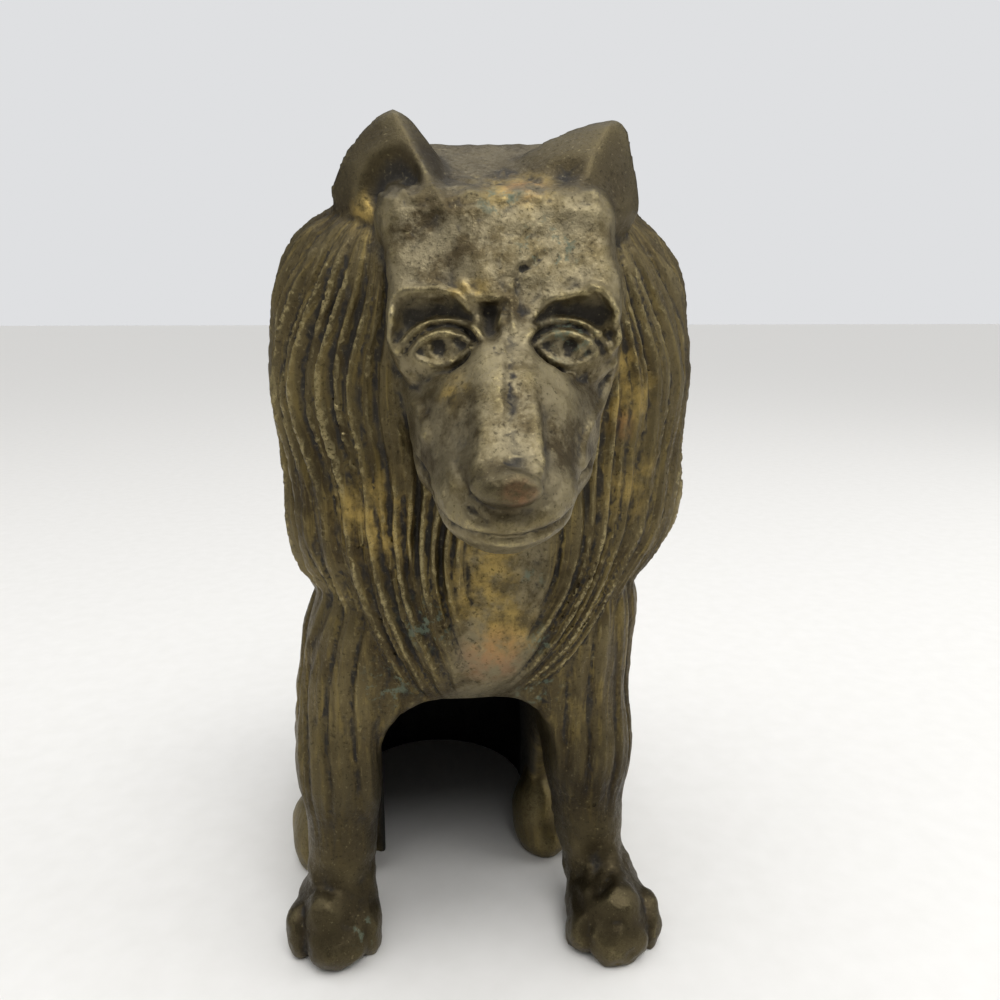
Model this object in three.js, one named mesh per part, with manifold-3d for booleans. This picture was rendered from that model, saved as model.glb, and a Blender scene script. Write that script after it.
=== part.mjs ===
import * as THREE from 'three';
import { mergeVertices } from 'three/addons/utils/BufferGeometryUtils.js';
import Module from 'manifold-3d';

// A sitting collie cast in brass as one hollow shell. The core space is open below and, through an arch between
// the forelegs, in front. Millimetres, +Z up, origin under the middle of the figure, the nose towards -Y.

// Driving dimensions, in millimetres.
const height = 90; // floor to the tips of the ears
const wall = 3.6; // metal round the core space
const coreHeight = 43; // floor to the roof of the core space
const archWidth = 19.2; // gap between the forelegs
const archHeight = 30; // floor to the crown of the arch
const archCorner = 8; // rounding of the arch's upper corners
const rimRounding = 1.2; // softening where the core space meets the outside
const footing = 2; // how far the free form runs below the floor before it is cut flat

// The pose and the carving are set out in hundredths of the height.
const unit = height / 100;
const inUnits = (millimetres) => millimetres / unit;
const sampling = 1.35; // spacing of the lattice on which the form is sampled
const facetTarget = 9300; // facets kept on the free form
const faceWeight = 6; // how much more the facets of the face count when the form is thinned
const faceFront = -22; // the face lies in front of this depth
const faceFoot = 56; // and above this level

// How the casting departs from an even, straight pose.
const lean = 3.2; // the ruff stands to the right of the feet
const headShift = 0.6; // the head sits further right on the ruff
const headTurn = 8.5; // degrees that the head looks back to the left
const haunchSwing = 2.6; // the haunches sit to the left
const pawStep = 4.2; // the right forepaw stands ahead of the left one


const clamp = (value, low, high) => Math.min(Math.max(value, low), high);
const mix = (a, b, t) => a + (b - a) * t;

function ramp(from, to, value) {
  const t = clamp((value - from) / (to - from), 0, 1);
  return t * t * (3 - 2 * t);
}

// Smooth union and smooth cut of two distances, rounded over the width k.
function blend(a, b, k) {
  const h = Math.max(k - Math.abs(a - b), 0) / k;
  return Math.min(a, b) - h * h * k * 0.25;
}

const carve = (a, b, k) => -blend(-a, b, k);

// A point in the frame of a form that is set at a place and tipped about the X axis, in degrees.
function local(x, y, z, at, tilt) {
  const angle = THREE.MathUtils.degToRad(tilt);
  const c = Math.cos(angle);
  const s = Math.sin(angle);
  return [x - at[0], (y - at[1]) * c + (z - at[2]) * s, (z - at[2]) * c - (y - at[1]) * s];
}

// Distance to an ellipsoid.
function lump(x, y, z, at, radii, tilt = 0) {
  const p = local(x, y, z, at, tilt);
  const near = Math.hypot(p[0] / radii[0], p[1] / radii[1], p[2] / radii[2]);
  const far = Math.hypot(p[0] / radii[0] ** 2, p[1] / radii[1] ** 2, p[2] / radii[2] ** 2);
  return far === 0 ? -Math.min(...radii) : (near * (near - 1)) / far;
}

// Distance to a block with rounded edges.
function slab(x, y, z, at, half, round, tilt = 0) {
  const q = local(x, y, z, at, tilt).map((value, axis) => Math.abs(value) - half[axis] + round);
  return Math.hypot(...q.map((value) => Math.max(value, 0))) + Math.min(Math.max(...q), 0) - round;
}

// Distance to a tapered limb with round ends.
function limb(x, y, z, from, to, fromRadius, toRadius) {
  const d = [to[0] - from[0], to[1] - from[1], to[2] - from[2]];
  const p = [x - from[0], y - from[1], z - from[2]];
  const t = clamp((p[0] * d[0] + p[1] * d[1] + p[2] * d[2]) / (d[0] ** 2 + d[1] ** 2 + d[2] ** 2), 0, 1);
  return Math.hypot(p[0] - t * d[0], p[1] - t * d[1], p[2] - t * d[2]) - mix(fromRadius, toRadius, t);
}

// Height of a row of rounded locks over their mean, from a phase that grows by one from lock to lock.
const locks = (phase) => 1.5 * Math.sqrt(Math.abs(Math.sin(Math.PI * phase)) + 0.02) - 1.15;

// Chest, back and rump, upright near the floor. The core space follows this form one wall inside it.
function torso(x, y, z) {
  const up = Math.max(z, 9);
  const chest = lump(x, y, up, [0, -5, 42], [18.5, 15, 24]);
  const back = limb(x, y, up, [0, 4, 54], [0, 19, 20], 16, 16.5);
  const rump = lump(x, y, up, [0, 16, 12], [19, 19, 18]);
  return blend(blend(chest, back, 8), rump, 8);
}

// Thigh, knee and hind foot of the side where x is positive.
function haunch(x, y, z) {
  const thigh = lump(x, y, z, [12.6, 12, 17], [8.2, 15, 14.5], -18);
  const knee = lump(x, y, z, [15.2, 0.5, 24.5], [5.2, 6.5, 7.5], 20);
  const shin = limb(x, y, z, [16, 3, 19], [16.6, 15, 6], 4.4, 4.2);
  const foot = limb(x, y, z, [16.6, 15, 4], [16.8, 3, 4.2], 4, 4.6);
  const toes = lump(x, y, z, [16.8, 1.5, 4.4], [5.3, 6, 5.8]);
  const inner = lump(x, y, z, [13.8, -1.5, 3], [2.4, 3, 4]);
  const outer = lump(x, y, z, [19.8, -1, 3], [2.5, 3.2, 4]);
  const coat = 0.5 * locks(Math.hypot(y - 22, z + 2) / 4.2);
  let d = blend(thigh, knee, 4) - coat * ramp(10, 16, x);
  d = blend(d, shin, 3);
  d = blend(d, blend(foot, toes, 2), 2);
  return blend(d, Math.min(inner, outer), 1.2);
}

// Foreleg and paw of the side where x is positive. The foot is moved forward by ahead.
function foreleg(x, y, z, ahead) {
  const shoulder = lump(x, y, z, [11, -7, 42], [8.2, 12, 17], 6);
  const upper = limb(x, y, z, [13.5, -10.5, 40], [15, -12.5, 23], 7, 5.5);
  const lower = limb(x, y, z, [15.6, -12.5, 24], [16.5, -14, 8], 5, 4);
  const feather = limb(x, y, z, [15.8, -8, 32], [15.8, -9.5, 12], 5, 3.6);
  const coat = 0.45 * locks((x + 0.2 * Math.sin(z / 6)) / 3.1) * ramp(9, 15, z);
  const step = y + ahead;
  const paw = lump(x, step, z, [17.5, -14.6, 3.4], [5, 7.6, 5.2], 6);
  const middle = lump(x, step, z, [17.2, -19.4, 3.4], [3, 3, 3.8], 10);
  const inner = lump(x, step, z, [13.4, -17.4, 2.2], [1.9, 3, 3.2]);
  const outer = lump(x, step, z, [21.7, -17, 2.4], [1.9, 3.2, 3.4]);
  let d = blend(blend(shoulder, upper, 5), blend(lower, feather, 3), 4) - coat;
  d = blend(d, paw, 2.5);
  return blend(d, Math.min(middle, inner, outer), 0.8);
}

// The bushy tail lies on the floor and wraps the right haunch.
function tail(x, y, z) {
  const route = [[0, 30, 10], [5, 35, 6.5], [12, 37, 4.8], [18.5, 34, 4.2], [22.5, 27, 3.8], [23, 20, 3]];
  const radii = [6, 5.6, 5.4, 4.9, 4, 1.8];
  let d = Infinity;
  for (let i = 0; i + 1 < route.length; i += 1) {
    d = blend(d, limb(x, y, z, route[i], route[i + 1], radii[i], radii[i + 1]), 1.5);
  }
  return d - 0.4 * locks(z / 3.4 + Math.atan2(y - 20, x) / 3);
}

// The ruff frames the face and hangs over the chest. Its locks run like meridians between two poles.
const ruffTop = [12.5, -8, 93];
const ruffFoot = [0, -11, 28];
const lockCount = 24;
const lockDepth = 1.3;

function ruffLocks(x, y, z) {
  const span = new THREE.Vector3(...ruffFoot).sub(new THREE.Vector3(...ruffTop));
  const p = new THREE.Vector3(x, y, z).sub(new THREE.Vector3(...ruffTop));
  const along = clamp(p.dot(span) / span.lengthSq(), 0, 1);
  const out = x - mix(ruffTop[0], ruffFoot[0], along);
  const front = y - mix(ruffTop[1], ruffFoot[1], along);
  const turn = Math.atan2(out, -front);
  const wave = 0.1 * Math.sin(7 * along + 2 * turn) + 0.05 * Math.sin(17 * along);
  return locks((turn + wave) * lockCount / (2 * Math.PI)) * ramp(3, 12, Math.hypot(out, front));
}

function ruff(x, y, z) {
  const crown = lump(x, y, z, [0, -7, 80], [24.2, 14, 14.5]);
  const cheeks = lump(x, y, z, [0, -7, 70], [25.4, 16.5, 20]);
  const bib = lump(x, y, z, [0, -8.5, 56], [24.2, 15.5, 18.5]);
  const tongue = lump(x, y, z, [0, -12, 44.5], [16, 12.4, 13]);
  const nape = lump(x, y, z, [0, 1, 66], [17, 14, 26], 16);
  const front = blend(blend(blend(crown, cheeks, 4), bib, 5), tongue, 4);
  return blend(front, nape, 6) - lockDepth * ruffLocks(x, y, z);
}

// Skull, mask, muzzle and eyes, about the head's own middle plane.
function face(x, y, z) {
  const crown = slab(x, y, z, [0, -12.2, 86.2], [12, 8.8, 8], 2.6, 33);
  const forehead = slab(x, y, z, [0, -18, 79.6], [11.7, 8.2, 8.6], 3.6, -24);
  const cheek = limb(x, y, z, [8, -19.5, 74], [4.6, -27, 64.5], 3.8, 3.4);
  const muzzle = lump(x, y, z, [0, -27, 67.5], [8, 9, 8.2], 40);
  const lips = lump(x, y, z, [0, -35.5, 62.4], [6.6, 6.6, 5], 22);
  const bridge = slab(x, y, z, [0, -32.6, 69.4], [mix(2.8, 5.2, ramp(77, 64, z)), 9.4, 3.2], 1.5, 44);
  const nose = lump(x, y, z, [0, -41, 63.8], [3.9, 2, 2], 30);
  const brow = limb(x, y, z, [3.6, -26.6, 80.4], [9.4, -24.8, 80.4], 1.7, 1.5);
  const jaw = lump(x, y, z, [0, -31.5, 60.6], [4.4, 8, 3.8], 14);
  const back = lump(x, y, z, [0, -4, 85], [12.5, 9.5, 9.5], 30);
  const temples = lump(x, y, z, [0, -14, 79], [13.4, 11.5, 12.5]);
  let d = blend(blend(blend(crown, forehead, 2), temples, 2), back, 4);
  d = blend(d, cheek, 2.5);
  d = blend(d, muzzle, 3);
  d = blend(d, lips, 2.5);
  d = blend(d, bridge, 1.2);
  d = blend(d, brow, 1.6);
  d = carve(d, lump(x, y, z, [6.3, -29.4, 75.6], [4.4, 3.6, 4], 8), 1);
  d = blend(d, lump(x, y, z, [6.1, -26, 74.6], [3.3, 2.6, 2], -8), 0.4);
  d = carve(d, lump(x, y, z, [0, -30.8, 78.4], [1.9, 2.6, 2.2]), 0.8);
  d = blend(d, nose, 0.7);
  const mouth = z - 60.4 - 0.42 * (y + 40);
  d += 0.8 * Math.exp(-((mouth / 0.9) ** 2)) * ramp(-26, -29, y);
  return blend(d, jaw, 0.7);
}

// A pricked ear with a hollow front. The ear leans out from its foot to its tip.
function ear(x, y, z, tipHeight, footX, tipX) {
  const footHeight = 86;
  const t = clamp((z - footHeight) / (tipHeight - footHeight), 0, 1);
  const off = x - mix(footX, tipX, t);
  const width = off > 0 ? 6.2 * (1 - t ** 3) ** 0.8 + 0.3 : 7.6 * (1 - t ** 2) ** 0.8 + 0.3;
  const depth = mix(4.6, 1, t);
  const across = Math.hypot(off / width, (y + 12.4 + 1.8 * t) / depth) - 1;
  const leaf = Math.max(across * Math.min(depth, width), z - tipHeight, 88.4 - z);
  return carve(leaf, lump(x, y, z, [footX + 0.9, -18, 91.6], [3.7, 4.2, 5], -12), 0.8);
}

// The whole outer form as a signed distance, in hundredths of the height.
function casting(x, y, z) {
  const rear = ramp(-10, 6, y) * ramp(60, 30, z);
  const sx = x - lean * ramp(26, 60, z) + haunchSwing * rear;
  const side = Math.abs(sx);
  const turn = THREE.MathUtils.degToRad(headTurn);
  const across = sx - headShift;
  const hx = Math.abs(across * Math.cos(turn) - (y + 12) * Math.sin(turn));
  const hy = (y + 12) * Math.cos(turn) + across * Math.sin(turn) - 12;
  let d = torso(sx, y, z);
  d = blend(d, haunch(side, y, z), 2.5);
  d = blend(d, foreleg(side, y, z, sx > 0 ? pawStep * ramp(30, 8, z) : 0), 3);
  d = blend(d, tail(sx, y, z), 2);
  d = blend(d, ruff(side, y, z), 0.8);
  d = blend(d, face(hx, hy, z), 0.6);
  return blend(d, sx > 0 ? ear(hx, hy, z, 98.4, 8, 12) : ear(hx, hy, z, 99.6, 11.3, 11.3), 1);
}

// The core space: one wall inside the torso, open below, and led out through the arch between the forelegs.
function core(x, y, z) {
  const sx = x - lean * ramp(26, 60, z) + haunchSwing * ramp(-10, 6, y) * ramp(60, 30, z);
  const inside = torso(sx, y, z) + inUnits(wall);
  const hollow = -blend(-inside, inUnits(coreHeight) - z, 6);
  const corner = inUnits(archCorner);
  const out = Math.abs(x + 0.4) - inUnits(archWidth) / 2 + corner;
  const up = z - inUnits(archHeight) + corner;
  const arch = Math.hypot(Math.max(out, 0), Math.max(up, 0)) + Math.min(Math.max(out, up), 0) - corner;
  return blend(hollow, Math.max(arch, y - 2), 2);
}

function shell(x, y, z) {
  const metal = carve(casting(x, y, z), core(x, y, z), inUnits(rimRounding));
  return Math.max(metal, -z - inUnits(footing));
}

// The field on a regular lattice. Blocks that the surface can't reach get one value for all their points.
function sample(field, low, high, step) {
  const block = 5;
  const n = low.map((value, axis) => Math.ceil((high[axis] - value) / step) + 1);
  const values = new Float64Array(n[0] * n[1] * n[2]);
  const reach = block * step * 1.4;
  const place = (axis, index) => low[axis] + index * step;
  for (let kb = 0; kb < n[2]; kb += block) {
    for (let jb = 0; jb < n[1]; jb += block) {
      for (let ib = 0; ib < n[0]; ib += block) {
        const half = (block - 1) / 2;
        const far = field(place(0, ib + half), place(1, jb + half), place(2, kb + half));
        for (let k = kb; k < Math.min(kb + block, n[2]); k += 1) {
          for (let j = jb; j < Math.min(jb + block, n[1]); j += 1) {
            for (let i = ib; i < Math.min(ib + block, n[0]); i += 1) {
              const value = Math.abs(far) > reach ? far : field(place(0, i), place(1, j), place(2, k));
              values[(k * n[1] + j) * n[0] + i] = value || 1e-9;
            }
          }
        }
      }
    }
  }
  return { n, values };
}

// Marching tetrahedra: every lattice cube is six tetrahedra round one diagonal, and each lattice edge that
// crosses the surface gives one shared vertex, so the result is always closed.
function polygonize(field, low, high, step) {
  const { n, values } = sample(field, low, high, step);
  const at = (i, j, k) => (k * n[1] + j) * n[0] + i;
  const corner = (index) => {
    const rest = Math.floor(index / n[0]);
    const cell = [index % n[0], rest % n[1], Math.floor(rest / n[1])];
    return cell.map((value, axis) => low[axis] + value * step);
  };
  const points = [];
  const shared = new Map();
  const cross = (a, b) => {
    const key = Math.min(a, b) * values.length + Math.max(a, b);
    if (!shared.has(key)) {
      const t = clamp(values[a] / (values[a] - values[b]), 0.04, 0.96);
      const [p, q] = [corner(a), corner(b)];
      shared.set(key, points.length);
      points.push(p.map((value, axis) => mix(value, q[axis], t)));
    }
    return shared.get(key);
  };
  const faces = [];
  const routes = [[0, 1, 2], [1, 2, 0], [2, 0, 1], [0, 2, 1], [2, 1, 0], [1, 0, 2]];
  const strides = [at(1, 0, 0), at(0, 1, 0), at(0, 0, 1)];
  for (let k = 0; k + 1 < n[2]; k += 1) {
    for (let j = 0; j + 1 < n[1]; j += 1) {
      for (let i = 0; i + 1 < n[0]; i += 1) {
        const first = at(i, j, k);
        const inside = values[first] < 0;
        const cube = [0, 1, 2, 3, 4, 5, 6, 7].map((c) => (
          first + (c & 1) * strides[0] + ((c >> 1) & 1) * strides[1] + (c >> 2) * strides[2]));
        if (cube.every((c) => values[c] < 0 === inside)) continue;
        routes.forEach((route, turn) => {
          const second = first + strides[route[0]];
          const tetra = [first, second, second + strides[route[1]], cube[7]];
          if (turn > 2) tetra.splice(0, 2, second, first);
          addFacets(tetra, values, cross, faces);
        });
      }
    }
  }
  return { points, faces };
}

// The facets of one tetrahedron whose corners are in right-handed order.
function addFacets(tetra, values, cross, faces) {
  const within = [0, 1, 2, 3].filter((c) => values[tetra[c]] < 0);
  if (within.length === 0 || within.length === 4) return;
  const order = [...within, ...[0, 1, 2, 3].filter((c) => values[tetra[c]] >= 0)];
  const swaps = order.reduce((sum, c, i) => sum + order.slice(i + 1).filter((later) => later < c).length, 0);
  const [a, b, c, d] = order.map((index) => tetra[index]);
  const push = (p, q, r) => faces.push(swaps % 2 === 0 ? [p, q, r] : [p, r, q]);
  if (within.length === 1) {
    push(cross(a, b), cross(a, c), cross(a, d));
  } else if (within.length === 3) {
    push(cross(a, d), cross(b, d), cross(c, d));
  } else {
    push(cross(a, c), cross(a, d), cross(b, d));
    push(cross(a, c), cross(b, d), cross(b, c));
  }
}

// The area-weighted quadric of a facet's plane: the ten coefficients of the squared distance to it.
function addPlane(quadrics, points, face) {
  const [p, q, r] = face.map((v) => points[v]);
  const n = facing(p, q, r);
  const area = Math.hypot(n[0], n[1], n[2]) || 1;
  const [nx, ny, nz] = [n[0] / area, n[1] / area, n[2] / area];
  const w = -(nx * p[0] + ny * p[1] + nz * p[2]);
  const row = [nx * nx, nx * ny, nx * nz, nx * w, ny * ny, ny * nz, ny * w, nz * nz, nz * w, w * w];
  const weight = area * (p[1] < faceFront && p[2] > faceFoot ? faceWeight : 1);
  for (const v of face) {
    for (let i = 0; i < 10; i += 1) quadrics[v][i] += row[i] * weight;
  }
}

// The vector along a facet's normal, twice its area long.
function facing(p, q, r) {
  const [ux, uy, uz] = [q[0] - p[0], q[1] - p[1], q[2] - p[2]];
  const [vx, vy, vz] = [r[0] - p[0], r[1] - p[1], r[2] - p[2]];
  return [uy * vz - uz * vy, uz * vx - ux * vz, ux * vy - uy * vx];
}

const quadricCost = (q, p) => p[0] * (q[0] * p[0] + 2 * (q[1] * p[1] + q[2] * p[2] + q[3]))
  + p[1] * (q[4] * p[1] + 2 * (q[5] * p[2] + q[6])) + p[2] * (q[7] * p[2] + 2 * q[8]) + q[9];

// The point of least cost, or null where the quadric is flat along some direction.
function quadricPoint(q) {
  const [c0, c1, c2] = [q[4] * q[7] - q[5] * q[5], q[2] * q[5] - q[1] * q[7], q[1] * q[5] - q[2] * q[4]];
  const det = q[0] * c0 + q[1] * c1 + q[2] * c2;
  if (det < (q[0] + q[4] + q[7]) ** 3 * 1e-5) return null;
  const [c3, c4, c5] = [q[0] * q[7] - q[2] * q[2], q[1] * q[2] - q[0] * q[5], q[0] * q[4] - q[1] * q[1]];
  return [
    -(c0 * q[3] + c1 * q[6] + c2 * q[8]) / det,
    -(c1 * q[3] + c3 * q[6] + c4 * q[8]) / det,
    -(c2 * q[3] + c4 * q[6] + c5 * q[8]) / det,
  ];
}

// Candidates in order of cost, cheapest first.
class Queue {
  items = [];

  push(item) {
    const { items } = this;
    let i = items.length;
    while (i > 0 && items[(i - 1) >> 1].cost > item.cost) {
      items[i] = items[(i - 1) >> 1];
      i = (i - 1) >> 1;
    }
    items[i] = item;
  }

  pop() {
    const { items } = this;
    const top = items[0];
    const last = items.pop();
    if (items.length === 0) return top;
    let i = 0;
    while (2 * i + 1 < items.length) {
      let child = 2 * i + 1;
      if (child + 1 < items.length && items[child + 1].cost < items[child].cost) child += 1;
      if (items[child].cost >= last.cost) break;
      items[i] = items[child];
      i = child;
    }
    items[i] = last;
    return top;
  }
}

// Thins a closed mesh by drawing the two ends of its least telling edge together, again and again.
function thin(points, faces, target) {
  const around = points.map(() => []);
  const quadrics = points.map(() => new Float64Array(10));
  const version = new Uint32Array(points.length);
  const queue = new Queue();
  const sum = new Float64Array(10);

  function queueEdge(a, b) {
    for (let i = 0; i < 10; i += 1) sum[i] = quadrics[a][i] + quadrics[b][i];
    const [p, q] = [points[a], points[b]];
    const middle = [(p[0] + q[0]) / 2, (p[1] + q[1]) / 2, (p[2] + q[2]) / 2];
    const length = Math.hypot(p[0] - q[0], p[1] - q[1], p[2] - q[2]);
    const best = quadricPoint(sum) || middle;
    const off = Math.hypot(best[0] - middle[0], best[1] - middle[1], best[2] - middle[2]);
    const at = off < 2 * length ? best : middle;
    queue.push({ a, b, at, stamp: version[a] + version[b], cost: quadricCost(sum, at) + 1e-5 * length ** 3 });
  }

  function neighbours(a) {
    const found = [];
    for (const f of around[a]) {
      for (const v of faces[f]) {
        if (v !== a && !found.includes(v)) found.push(v);
      }
    }
    return found;
  }

  // True where no facet round a, apart from those on the edge to b, turns over or closes up.
  function keepsFacing(a, b, at) {
    for (const f of around[a]) {
      const [p, q, r] = faces[f];
      if (p === b || q === b || r === b) continue;
      const before = facing(points[p], points[q], points[r]);
      const after = facing(p === a ? at : points[p], q === a ? at : points[q], r === a ? at : points[r]);
      const size = Math.hypot(after[0], after[1], after[2]);
      const dot = before[0] * after[0] + before[1] * after[1] + before[2] * after[2];
      if (size < 1e-3 || dot < 0.25 * size * Math.hypot(before[0], before[1], before[2])) return false;
    }
    return true;
  }

  faces.forEach((face, f) => {
    addPlane(quadrics, points, face);
    face.forEach((v) => around[v].push(f));
  });
  for (const [a, b, c] of faces) {
    if (a < b) queueEdge(a, b);
    if (b < c) queueEdge(b, c);
    if (c < a) queueEdge(c, a);
  }
  let left = faces.length;
  while (left > target && queue.items.length > 0) {
    const { a, b, at, stamp } = queue.pop();
    if (stamp !== version[a] + version[b] || around[a].length === 0 || around[b].length === 0) continue;
    const beside = neighbours(a);
    const common = neighbours(b).filter((v) => beside.includes(v));
    if (common.length !== 2 || !keepsFacing(a, b, at) || !keepsFacing(b, a, at)) continue;
    points[a] = at;
    for (let i = 0; i < 10; i += 1) quadrics[a][i] += quadrics[b][i];
    for (const f of around[b]) {
      if (faces[f].includes(a)) {
        for (const v of [a, ...common]) around[v] = around[v].filter((other) => other !== f);
        faces[f] = [];
        left -= 1;
      } else {
        faces[f] = faces[f].map((v) => (v === b ? a : v));
        around[a].push(f);
      }
    }
    around[b] = [];
    version[a] += points.length;
    for (const v of neighbours(a)) queueEdge(a, v);
  }
  return faces.filter((face) => face.length > 0);
}

function geometryOf(points, faces) {
  const geometry = new THREE.BufferGeometry();
  geometry.setAttribute('position', new THREE.Float32BufferAttribute(points.flat(), 3));
  geometry.setIndex(faces.flat());
  return geometry;
}

// Joins and cuts run on closed triangle meshes.
const wasm = await Module();
wasm.setup();

function toSolid(geometry) {
  return new wasm.Manifold(new wasm.Mesh({
    numProp: 3,
    vertProperties: geometry.getAttribute('position').array,
    triVerts: new Uint32Array(geometry.getIndex().array),
  }));
}

function toGeometry(solid) {
  const mesh = solid.getMesh();
  return new THREE.BufferGeometry()
    .setAttribute('position', new THREE.BufferAttribute(mesh.vertProperties, 3))
    .setIndex(new THREE.BufferAttribute(mesh.triVerts, 1));
}

const free = polygonize(shell, [-31, -49, -2 - inUnits(footing)], [34, 48, 103], sampling);
const kept = thin(free.points, free.faces, facetTarget);
const figure = geometryOf(free.points.map((point) => point.map((value) => value * unit)), kept);

// The feet, the haunches and the tail are ground flat on the floor.
const block = new THREE.BoxGeometry(2 * height, 2 * height, height).translate(0, 0, -height / 2);
block.deleteAttribute('normal');
block.deleteAttribute('uv');
const floor = mergeVertices(block);
const grounded = toGeometry(toSolid(figure).subtract(toSolid(floor)));
grounded.computeBoundingBox();
const middle = grounded.boundingBox.getCenter(new THREE.Vector3());
grounded.translate(-middle.x, -middle.y, 0);

const brass = new THREE.MeshStandardMaterial({ color: 0x5b4a2b, roughness: 0.55, metalness: 0.9 });
const collie = new THREE.Mesh(grounded, brass);
collie.name = 'collie';

const root = new THREE.Group();
root.add(collie);
export default root;
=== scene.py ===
"""A seated collie cast in brass, aged to a dark patina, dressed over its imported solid.

The coarse solid is replaced by a finer mesh of the same form, sampled from a signed distance field. Lengths
in the field are hundredths of the figure's height, in the pose frame: x to the viewer's right, y away, z up.
"""

import math
from concurrent.futures import ThreadPoolExecutor

import bpy
import numpy as np
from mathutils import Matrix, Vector


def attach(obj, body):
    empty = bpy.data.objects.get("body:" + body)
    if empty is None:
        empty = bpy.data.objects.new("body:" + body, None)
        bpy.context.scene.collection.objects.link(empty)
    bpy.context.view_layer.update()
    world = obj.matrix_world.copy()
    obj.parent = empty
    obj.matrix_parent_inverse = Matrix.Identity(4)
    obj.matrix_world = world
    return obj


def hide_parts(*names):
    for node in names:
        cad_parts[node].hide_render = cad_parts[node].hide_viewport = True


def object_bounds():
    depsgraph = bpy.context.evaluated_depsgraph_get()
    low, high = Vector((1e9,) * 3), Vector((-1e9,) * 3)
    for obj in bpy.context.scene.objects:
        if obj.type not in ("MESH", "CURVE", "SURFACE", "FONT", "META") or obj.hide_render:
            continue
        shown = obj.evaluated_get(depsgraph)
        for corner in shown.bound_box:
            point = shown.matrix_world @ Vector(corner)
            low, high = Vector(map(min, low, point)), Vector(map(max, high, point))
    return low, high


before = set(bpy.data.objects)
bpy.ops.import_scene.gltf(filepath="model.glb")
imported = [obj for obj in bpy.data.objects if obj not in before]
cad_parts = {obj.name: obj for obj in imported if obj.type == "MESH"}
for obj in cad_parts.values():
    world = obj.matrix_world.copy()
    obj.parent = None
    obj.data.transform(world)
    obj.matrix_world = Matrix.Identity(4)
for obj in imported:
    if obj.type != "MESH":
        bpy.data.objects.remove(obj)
cad_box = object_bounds()

HEIGHT = 0.090  # metres, floor to ear tips
UNIT = HEIGHT / 100
WALL = 0.0036 / UNIT
CORE_HEIGHT = 0.043 / UNIT
ARCH_WIDTH = 0.0192 / UNIT
ARCH_HEIGHT = 0.030 / UNIT
ARCH_CORNER = 0.008 / UNIT
ARCH_REACH = 0.008 / UNIT  # how far behind the middle of the figure the arch runs
ARCH_SHIFT = 0.4  # the arch sits this far to the left
RIM_ROUNDING = 0.0012 / UNIT

# How the casting departs from an even, straight pose, as in the solid.
LEAN = 3.2
HEAD_SHIFT = 0.6
HEAD_TURN = math.radians(8.5)
FACE_SHIFT = 1.0  # the mask sits further right than the crown
HAUNCH_SWING = 2.6
PAW_STEP = 4.2

# The row frame's origin lies under the middle of the figure, this far from the pose frame's.
ORIGIN = (0.00196, 0.00007)

STEP = 0.36  # spacing of the sampling lattice
BLOCK = 6  # lattice points along the edge of a block that is sampled or skipped as one
BATCH = 40000  # points that one thread works out at a time
TRIANGLES = 190000
BOX_MARGIN = 1e-5  # metres that the mesh keeps inside the solid's box
LOW = np.array([-31.0, -49.0, -2.0])  # corners of the sampled space
HIGH = np.array([34.0, 48.0, 103.0])

# Lights and camera, in metres, watts and degrees. The dome over the figure is dim up to DOME_FROM, as a share of
# the way to straight overhead, and grows brighter above that. Each light has a place, a size and a power.
DOME_FROM = 0.6
DOME_LOW = 0.14
DOME_HIGH = 2.35
BACKGROUND = 0.76  # brightness of the room where the camera sees it
AIM = (0, 0, 0.05)
LIGHTS = [
    ("key", (0.08, -0.24, 0.43), 0.24, 0.75),
    ("right", (0.40, -0.06, 0.25), 0.30, 0.5),
    ("left", (-0.40, -0.06, 0.25), 0.30, 0.3),
]
CAMERA_AT = (-0.01064, -0.09526, 0.0702)
CAMERA_DOWN = 13
CAMERA_TURN = -8.5
LENS = 28.8
SENSOR = 36
FLOOR_HALF = 6.0


def mix(a, b, t):
    return a + (b - a) * t


def ramp(start, end, value):
    """From 0 at the start to 1 at the end, with a soft beginning and ending."""
    t = np.clip((value - start) / (end - start), 0, 1)
    return t * t * (3 - 2 * t)


def blend(a, b, k):
    """Union of two distances, rounded over the width k."""
    h = np.maximum(k - np.abs(a - b), 0) / k
    return np.minimum(a, b) - h * h * k * 0.25


def carve(a, b, k):
    """The first form less the second, rounded over the width k."""
    return -blend(-a, b, k)


def local(p, at, tilt):
    """Points in the frame of a form set at a place and tipped about the X axis, in degrees."""
    c, s = math.cos(math.radians(tilt)), math.sin(math.radians(tilt))
    x, y, z = p[0] - at[0], p[1] - at[1], p[2] - at[2]
    return x, y * c + z * s, z * c - y * s


def lump(p, at, radii, tilt=0):
    """Distance to an ellipsoid."""
    x, y, z = local(p, at, tilt)
    near = np.sqrt((x / radii[0]) ** 2 + (y / radii[1]) ** 2 + (z / radii[2]) ** 2)
    far = np.sqrt((x / radii[0] ** 2) ** 2 + (y / radii[1] ** 2) ** 2 + (z / radii[2] ** 2) ** 2)
    return near * (near - 1) / np.maximum(far, 1e-6)


def slab(p, at, half, edge, tilt=0):
    """Distance to a block with rounded edges."""
    q = [np.abs(v) - h + edge for v, h in zip(local(p, at, tilt), half)]
    outside = np.sqrt(sum(np.maximum(v, 0) ** 2 for v in q))
    return outside + np.minimum(np.maximum(np.maximum(q[0], q[1]), q[2]), 0) - edge


def limb(p, start, end, start_radius, end_radius):
    """Distance to a tapered limb with round ends."""
    d = [e - s for s, e in zip(start, end)]
    q = [v - s for v, s in zip(p, start)]
    t = np.clip(sum(a * b for a, b in zip(q, d)) / sum(v * v for v in d), 0, 1)
    return np.sqrt(sum((a - t * b) ** 2 for a, b in zip(q, d))) - mix(start_radius, end_radius, t)


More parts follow.
